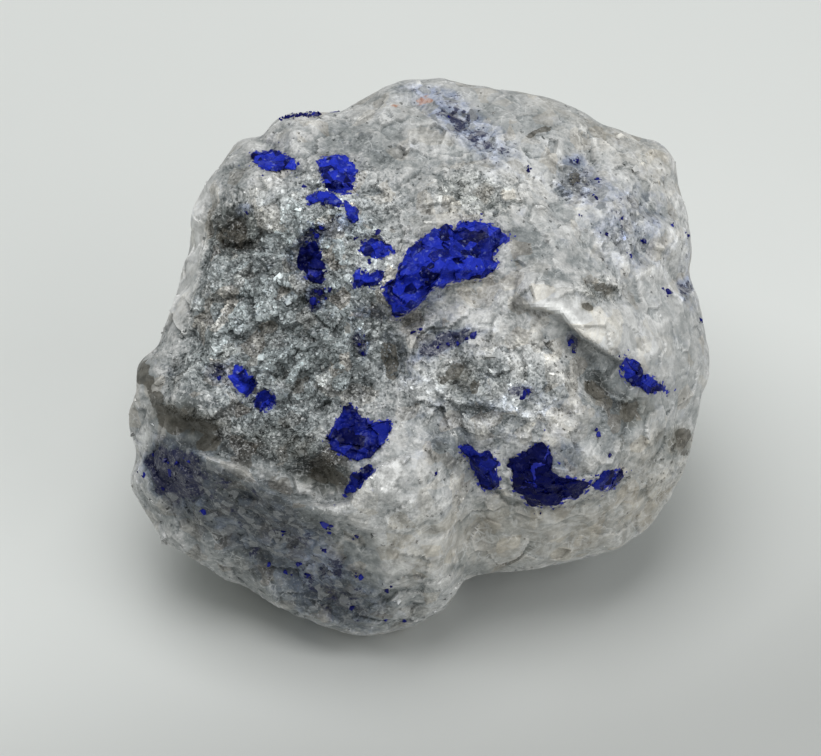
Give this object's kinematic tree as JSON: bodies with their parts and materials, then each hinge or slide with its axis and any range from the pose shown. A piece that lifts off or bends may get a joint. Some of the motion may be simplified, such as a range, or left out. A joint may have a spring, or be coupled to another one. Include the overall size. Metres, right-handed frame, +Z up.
{
  "type": "lazurite specimen in marble",
  "caption": "Broken lump of white marble with deep blue lazurite grains set in its rough face, resting on a flat underside.",
  "frame": {"origin": "centre of the lump's bounding box, on the flat underside it rests on", "axes": "+Z up; -Y is the way the broken face with most of the lazurite looks, tilted up by 40 degrees; +X to the right as it is seen"},
  "size_m": [0.0722, 0.062, 0.0571],
  "materials": {
    "marble": null,
    "lazurite": null
  },
  "bodies": {
    "root": {"marble_matrix": "marble", "lazurite_centre": "lazurite", "lazurite_round": "lazurite", "lazurite_upper_left": "lazurite", "lazurite_band": "lazurite", "lazurite_fleck_north": "lazurite", "lazurite_dark_vein": "lazurite", "lazurite_west_upper": "lazurite", "lazurite_west_lower": "lazurite", "lazurite_left": "lazurite", "lazurite_left_lower": "lazurite", "lazurite_star": "lazurite", "lazurite_star_tail": "lazurite", "lazurite_right": "lazurite", "lazurite_keel": "lazurite", "lazurite_keel_left": "lazurite", "lazurite_keel_right": "lazurite", "lazurite_rim": "lazurite"}
  },
  "joints": []
}
